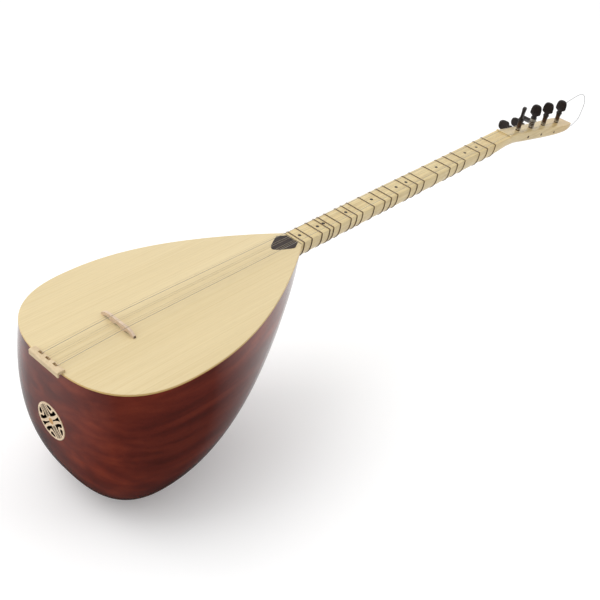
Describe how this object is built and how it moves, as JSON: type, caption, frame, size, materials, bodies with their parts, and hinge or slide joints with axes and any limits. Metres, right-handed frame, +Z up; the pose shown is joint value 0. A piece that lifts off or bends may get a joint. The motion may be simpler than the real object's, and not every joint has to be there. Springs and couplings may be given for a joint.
{
  "type": "long-necked saz",
  "caption": "Long-necked lute with a deep carved half-pear bowl, flat soundboard, tied movable frets, floating bridge and tapered friction pegs",
  "frame": {"origin": "under the middle of the whole length from tailpiece to head tip, on the middle plane, level with the lowest point of the bowl", "axes": "+X along the instrument from the tail to the head; +Z up, square to the soundboard; +Y toward the side the three side pegs stick out of"},
  "size_m": [1.2707, 0.3036, 0.2927],
  "materials": {
    "bowl_wood": "red-brown, high gloss lacquer",
    "board_wood": "pale straight-grained softwood, satin",
    "neck_wood": "pale yellow hardwood, satin lacquer",
    "pale_wood": "pale close-grained wood, bare",
    "dark_wood": "near-black polished hardwood",
    "peg_wood": "near-black hardwood, dull polish",
    "fret_cord": "brown nylon line, wound and tied",
    "string_steel": "bright drawn wire"
  },
  "bodies": {
    "instrument": {"bowl": "bowl_wood", "soundboard": "board_wood", "soundboard_braces": "board_wood", "rosette": "pale_wood", "edge_line": "dark_wood", "inlay_leaf": "dark_wood", "neck": "neck_wood", "headstock": "neck_wood", "nut": "pale_wood", "position_dots": "dark_wood", "tailpiece": "pale_wood", "string_1": "string_steel", "string_2": "string_steel", "string_3": "string_steel", "string_4": "string_steel", "string_5": "string_steel", "string_6": "string_steel", "string_7": "string_steel", "loose_string": "string_steel"},
    "bridge_piece": {"bridge": "pale_wood"},
    "peg_1_turning": {"peg_1": "peg_wood", "winding_1": "string_steel"},
    "peg_2_turning": {"peg_2": "peg_wood", "winding_2": "string_steel"},
    "peg_3_turning": {"peg_3": "peg_wood", "winding_3": "string_steel"},
    "peg_4_turning": {"peg_4": "peg_wood", "winding_4": "string_steel"},
    "peg_5_turning": {"peg_5": "peg_wood", "winding_5": "string_steel"},
    "peg_6_turning": {"peg_6": "peg_wood", "winding_6": "string_steel"},
    "peg_7_turning": {"peg_7": "peg_wood", "winding_7": "string_steel"},
    "fret_1_tied": {"fret_1": "fret_cord"},
    "fret_2_tied": {"fret_2": "fret_cord"},
    "fret_3_tied": {"fret_3": "fret_cord"},
    "fret_4_tied": {"fret_4": "fret_cord"},
    "fret_5_tied": {"fret_5": "fret_cord"},
    "fret_6_tied": {"fret_6": "fret_cord"},
    "fret_7_tied": {"fret_7": "fret_cord"},
    "fret_8_tied": {"fret_8": "fret_cord"},
    "fret_9_tied": {"fret_9": "fret_cord"},
    "fret_10_tied": {"fret_10": "fret_cord"},
    "fret_11_tied": {"fret_11": "fret_cord"},
    "fret_12_tied": {"fret_12": "fret_cord"},
    "fret_13_tied": {"fret_13": "fret_cord"},
    "fret_14_tied": {"fret_14": "fret_cord"},
    "fret_15_tied": {"fret_15": "fret_cord"},
    "fret_16_tied": {"fret_16": "fret_cord"},
    "fret_17_tied": {"fret_17": "fret_cord"},
    "fret_18_tied": {"fret_18": "fret_cord"},
    "fret_19_tied": {"fret_19": "fret_cord"},
    "fret_20_tied": {"fret_20": "fret_cord"},
    "fret_21_tied": {"fret_21": "fret_cord"},
    "fret_22_tied": {"fret_22": "fret_cord"},
    "fret_23_tied": {"fret_23": "fret_cord"}
  },
  "joints": [
    {"name": "bridge_slide", "type": "slide", "parent": "instrument", "child": "bridge_piece", "axis": [1, 0, 0], "range_m": [-0.003, 0.003]},
    {"name": "peg_1_turn", "type": "hinge", "parent": "instrument", "child": "peg_1_turning", "pos_m": [0.42011, 0, 0.24703], "axis": [0.1908, 0, 0.9816], "continuous": true},
    {"name": "peg_2_turn", "type": "hinge", "parent": "instrument", "child": "peg_2_turning", "pos_m": [0.46772, 0, 0.23778], "axis": [0.1908, 0, 0.9816], "continuous": true},
    {"name": "peg_3_turn", "type": "hinge", "parent": "instrument", "child": "peg_3_turning", "pos_m": [0.51435, 0, 0.22871], "axis": [0.1908, 0, 0.9816], "continuous": true},
    {"name": "peg_4_turn", "type": "hinge", "parent": "instrument", "child": "peg_4_turning", "pos_m": [0.56637, 0, 0.2186], "axis": [0.1908, 0, 0.9816], "continuous": true},
    {"name": "peg_5_turn", "type": "hinge", "parent": "instrument", "child": "peg_5_turning", "pos_m": [0.4398, 0.0152, 0.23302], "axis": [0, 1, 0], "continuous": true},
    {"name": "peg_6_turn", "type": "hinge", "parent": "instrument", "child": "peg_6_turning", "pos_m": [0.48691, 0.0163, 0.22386], "axis": [0, 1, 0], "continuous": true},
    {"name": "peg_7_turn", "type": "hinge", "parent": "instrument", "child": "peg_7_turning", "pos_m": [0.53403, 0.0177, 0.2147], "axis": [0, 1, 0], "continuous": true},
    {"name": "fret_1_slide", "type": "slide", "parent": "instrument", "child": "fret_1_tied", "axis": [1, 0, 0], "range_m": [-0.002, 0.002]},
    {"name": "fret_2_slide", "type": "slide", "parent": "instrument", "child": "fret_2_tied", "axis": [1, 0, 0], "range_m": [-0.002, 0.002]},
    {"name": "fret_3_slide", "type": "slide", "parent": "instrument", "child": "fret_3_tied", "axis": [1, 0, 0], "range_m": [-0.002, 0.002]},
    {"name": "fret_4_slide", "type": "slide", "parent": "instrument", "child": "fret_4_tied", "axis": [1, 0, 0], "range_m": [-0.002, 0.002]},
    {"name": "fret_5_slide", "type": "slide", "parent": "instrument", "child": "fret_5_tied", "axis": [1, 0, 0], "range_m": [-0.002, 0.002]},
    {"name": "fret_6_slide", "type": "slide", "parent": "instrument", "child": "fret_6_tied", "axis": [1, 0, 0], "range_m": [-0.002, 0.002]},
    {"name": "fret_7_slide", "type": "slide", "parent": "instrument", "child": "fret_7_tied", "axis": [1, 0, 0], "range_m": [-0.002, 0.002]},
    {"name": "fret_8_slide", "type": "slide", "parent": "instrument", "child": "fret_8_tied", "axis": [1, 0, 0], "range_m": [-0.002, 0.002]},
    {"name": "fret_9_slide", "type": "slide", "parent": "instrument", "child": "fret_9_tied", "axis": [1, 0, 0], "range_m": [-0.002, 0.002]},
    {"name": "fret_10_slide", "type": "slide", "parent": "instrument", "child": "fret_10_tied", "axis": [1, 0, 0], "range_m": [-0.002, 0.002]},
    {"name": "fret_11_slide", "type": "slide", "parent": "instrument", "child": "fret_11_tied", "axis": [1, 0, 0], "range_m": [-0.002, 0.002]},
    {"name": "fret_12_slide", "type": "slide", "parent": "instrument", "child": "fret_12_tied", "axis": [1, 0, 0], "range_m": [-0.002, 0.002]},
    {"name": "fret_13_slide", "type": "slide", "parent": "instrument", "child": "fret_13_tied", "axis": [1, 0, 0], "range_m": [-0.002, 0.002]},
    {"name": "fret_14_slide", "type": "slide", "parent": "instrument", "child": "fret_14_tied", "axis": [1, 0, 0], "range_m": [-0.002, 0.002]},
    {"name": "fret_15_slide", "type": "slide", "parent": "instrument", "child": "fret_15_tied", "axis": [1, 0, 0], "range_m": [-0.002, 0.002]},
    {"name": "fret_16_slide", "type": "slide", "parent": "instrument", "child": "fret_16_tied", "axis": [1, 0, 0], "range_m": [-0.002, 0.002]},
    {"name": "fret_17_slide", "type": "slide", "parent": "instrument", "child": "fret_17_tied", "axis": [1, 0, 0], "range_m": [-0.002, 0.002]},
    {"name": "fret_18_slide", "type": "slide", "parent": "instrument", "child": "fret_18_tied", "axis": [1, 0, 0], "range_m": [-0.002, 0.002]},
    {"name": "fret_19_slide", "type": "slide", "parent": "instrument", "child": "fret_19_tied", "axis": [1, 0, 0], "range_m": [-0.002, 0.002]},
    {"name": "fret_20_slide", "type": "slide", "parent": "instrument", "child": "fret_20_tied", "axis": [1, 0, 0], "range_m": [-0.002, 0.002]},
    {"name": "fret_21_slide", "type": "slide", "parent": "instrument", "child": "fret_21_tied", "axis": [1, 0, 0], "range_m": [-0.002, 0.002]},
    {"name": "fret_22_slide", "type": "slide", "parent": "instrument", "child": "fret_22_tied", "axis": [1, 0, 0], "range_m": [-0.002, 0.002]},
    {"name": "fret_23_slide", "type": "slide", "parent": "instrument", "child": "fret_23_tied", "axis": [1, 0, 0], "range_m": [-0.002, 0.002]}
  ]
}
